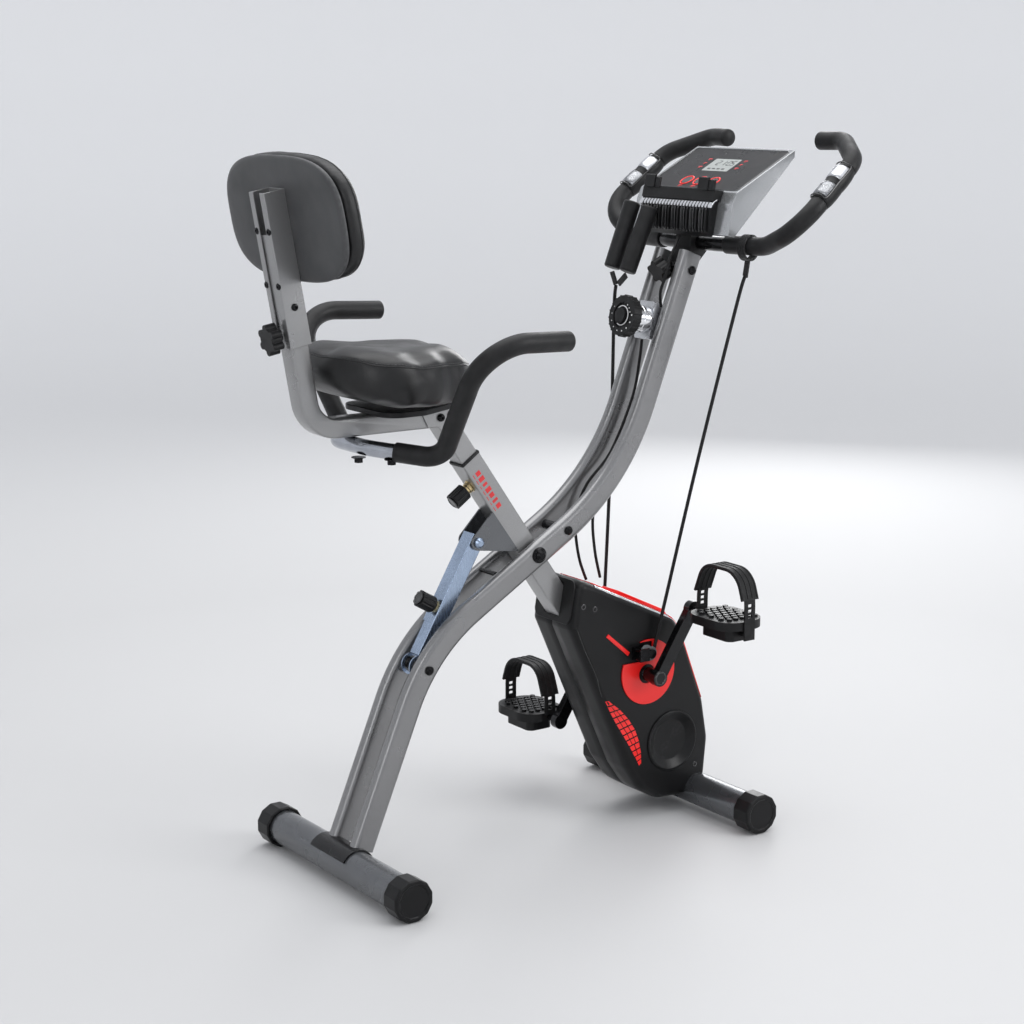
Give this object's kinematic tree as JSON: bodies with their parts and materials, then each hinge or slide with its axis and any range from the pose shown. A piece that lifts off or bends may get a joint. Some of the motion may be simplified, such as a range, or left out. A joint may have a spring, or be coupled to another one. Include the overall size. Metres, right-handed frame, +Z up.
{
  "type": "recumbent exercise bike",
  "caption": "Folding semi-recumbent exercise bike with a height-adjustable padded seat and backrest, side handles, a sensor handlebar with console, a covered belt drive and arm bands.",
  "frame": {"origin": "middle of the bounding box on the floor", "axes": "+X forward, the way the rider faces; +Y to the rider's left; +Z up"},
  "size_m": [1.034, 0.5836, 1.1732],
  "materials": {
    "frame_paint": "satin silver-grey paint",
    "foot_paint": "satin grey paint",
    "bolt_black": "black zinc",
    "zinc": "bright zinc",
    "cap_plastic": "fine textured",
    "black_plastic": "moulded",
    "gloss_black": "smooth",
    "red_plastic": "smooth",
    "silver_plastic": "silver lacquer",
    "grey_plastic": "moulded",
    "foam": "fine cell foam",
    "rubber_black": "matt",
    "vinyl": "grained black vinyl",
    "board_grey": "fine textured",
    "webbing": "woven",
    "steel": "machined",
    "tube_black": "satin black paint"
  },
  "bodies": {
    "rear_frame": {"rail_right": "frame_paint", "rail_left": "frame_paint", "frame_cross_parts": "bolt_black", "rear_stabilizer": "foot_paint", "rear_end_caps": "cap_plastic", "rail_bolts": "bolt_black", "pivot_bolt": "bolt_black", "handlebar_tube": "tube_black", "handlebar_foam": "foam", "pulse_grips": "silver_plastic", "bar_clamp": "black_plastic", "console_shell": "silver_plastic", "console_panel": "gloss_black", "console_shelf": "black_plastic", "dial_base": "grey_plastic", "tension_cable": "rubber_black", "sensor_cable": "rubber_black", "band_grips": "foam", "band_straps": "webbing", "band_cord_right": "rubber_black", "band_cord_left": "rubber_black"},
    "clamp_knob": {"clamp_knob": "black_plastic"},
    "tension_dial": {"tension_dial": "black_plastic"},
    "button_left": {"button_left": "red_plastic"},
    "button_middle": {"button_middle": "red_plastic"},
    "button_right": {"button_right": "red_plastic"},
    "seat_frame": {"main_tube": "frame_paint", "frame_plates": "frame_paint", "front_stabilizer": "foot_paint", "front_end_caps": "cap_plastic", "bottom_bracket": "steel", "housing_right": "black_plastic", "housing_left": "black_plastic", "housing_collar": "black_plastic", "housing_trim": "red_plastic", "side_discs": "red_plastic", "drive_belt": "rubber_black"},
    "band_pulley_right": {"band_pulley_right": "steel"},
    "band_pulley_left": {"band_pulley_left": "steel"},
    "magnet_arm": {"magnet_arm": "steel"},
    "height_knob": {"height_knob": "black_plastic"},
    "crank": {"crank_axle": "steel", "crank_arms": "black_plastic"},
    "pedal_right": {"pedal_right": "black_plastic", "pedal_strap_right": "rubber_black"},
    "pedal_left": {"pedal_left": "black_plastic", "pedal_strap_left": "rubber_black"},
    "flywheel": {"flywheel": "steel"},
    "strut_outer": {"strut_outer": "zinc"},
    "strut_inner": {"strut_inner": "zinc"},
    "strut_knob": {"strut_knob": "black_plastic"},
    "seat": {"seat_post": "frame_paint", "seat_handles": "zinc", "seat_handle_foam": "foam", "seat_base": "black_plastic", "seat_cushion": "vinyl"},
    "backrest": {"backrest_channel": "frame_paint", "backrest_board": "board_grey", "backrest_pad": "vinyl"},
    "star_knob": {"star_knob": "black_plastic"}
  },
  "joints": [
    {"name": "fold", "type": "hinge", "parent": "rear_frame", "child": "seat_frame", "pos_m": [-0.0332, 0, 0.495], "axis": [0, 1, 0], "range_deg": [0, 30], "deforming": ["tension_cable", "sensor_cable", "band_cord_right", "band_cord_left"]},
    {"name": "strut_swing", "type": "hinge", "parent": "seat_frame", "child": "strut_outer", "pos_m": [-0.1372, 0, 0.5245], "axis": [0, 1, 0], "range_deg": [-32, 0]},
    {"name": "strut_extend", "type": "slide", "parent": "strut_outer", "child": "strut_inner", "axis": [-0.5068, 0, -0.8621], "range_m": [0, 0.057]},
    {"name": "strut_knob_pull", "type": "slide", "parent": "strut_outer", "child": "strut_knob", "axis": [-0.8621, 0, 0.5068], "range_m": [0, 0.008], "stiffness_N_per_m": 600},
    {"name": "seat_height", "type": "slide", "parent": "seat_frame", "child": "seat", "axis": [-0.5736, 0, 0.8192], "range_m": [-0.05, 0.075]},
    {"name": "height_knob_pull", "type": "slide", "parent": "seat_frame", "child": "height_knob", "axis": [-0.8192, 0, -0.5736], "range_m": [0, 0.008], "stiffness_N_per_m": 600},
    {"name": "backrest_height", "type": "slide", "parent": "seat", "child": "backrest", "axis": [-0.1736, 0, 0.9848], "range_m": [-0.035, 0.055]},
    {"name": "star_knob_turn", "type": "hinge", "parent": "backrest", "child": "star_knob", "pos_m": [-0.46143, 0, 0.88373], "axis": [-0.9848, 0, -0.1736], "range_deg": [0, 350]},
    {"name": "clamp_knob_turn", "type": "hinge", "parent": "rear_frame", "child": "clamp_knob", "pos_m": [0.2698, 0, 0.954], "axis": [-0.9063, 0, -0.4226], "range_deg": [0, 350]},
    {"name": "dial_turn", "type": "hinge", "parent": "rear_frame", "child": "tension_dial", "pos_m": [0.1668, 0, 0.872], "axis": [-0.9781, 0, 0.2079], "range_deg": [0, 270]},
    {"name": "magnet_arm_swing", "type": "hinge", "parent": "seat_frame", "child": "magnet_arm", "pos_m": [0.1478, 0, 0.167], "axis": [0, 1, 0], "range_deg": [0, 3]},
    {"name": "crank_turn", "type": "hinge", "parent": "seat_frame", "child": "crank", "pos_m": [0.1808, 0, 0.263], "axis": [0, 1, 0], "continuous": true},
    {"name": "flywheel_turn", "type": "hinge", "parent": "seat_frame", "child": "flywheel", "pos_m": [0.2398, 0, 0.133], "axis": [0, 1, 0], "continuous": true},
    {"name": "pedal_right_turn", "type": "hinge", "parent": "crank", "child": "pedal_right", "pos_m": [0.25269, 0, 0.37371], "axis": [0, 1, 0], "continuous": true},
    {"name": "pedal_left_turn", "type": "hinge", "parent": "crank", "child": "pedal_left", "pos_m": [0.10891, 0, 0.1523], "axis": [0, 1, 0], "continuous": true},
    {"name": "band_pulley_right_turn", "type": "hinge", "parent": "seat_frame", "child": "band_pulley_right", "pos_m": [0.1758, 0, 0.303], "axis": [0, 1, 0], "continuous": true},
    {"name": "band_pulley_left_turn", "type": "hinge", "parent": "seat_frame", "child": "band_pulley_left", "pos_m": [0.1758, 0, 0.303], "axis": [0, 1, 0], "continuous": true},
    {"name": "button_left_press", "type": "slide", "parent": "rear_frame", "child": "button_left", "axis": [0.4695, 0, -0.8829], "range_m": [0, 0.001], "stiffness_N_per_m": 300},
    {"name": "button_middle_press", "type": "slide", "parent": "rear_frame", "child": "button_middle", "axis": [0.4695, 0, -0.8829], "range_m": [0, 0.001], "stiffness_N_per_m": 300},
    {"name": "button_right_press", "type": "slide", "parent": "rear_frame", "child": "button_right", "axis": [0.4695, 0, -0.8829], "range_m": [0, 0.001], "stiffness_N_per_m": 300}
  ],
  "couplings": [
    {"joint": "strut_swing", "follows": "fold", "ratio": -1.014},
    {"joint": "strut_extend", "follows": "fold", "m_per_rad": 0.107},
    {"joint": "magnet_arm_swing", "follows": "dial_turn", "ratio": 0.011},
    {"joint": "flywheel_turn", "follows": "crank_turn", "ratio": 4}
  ]
}
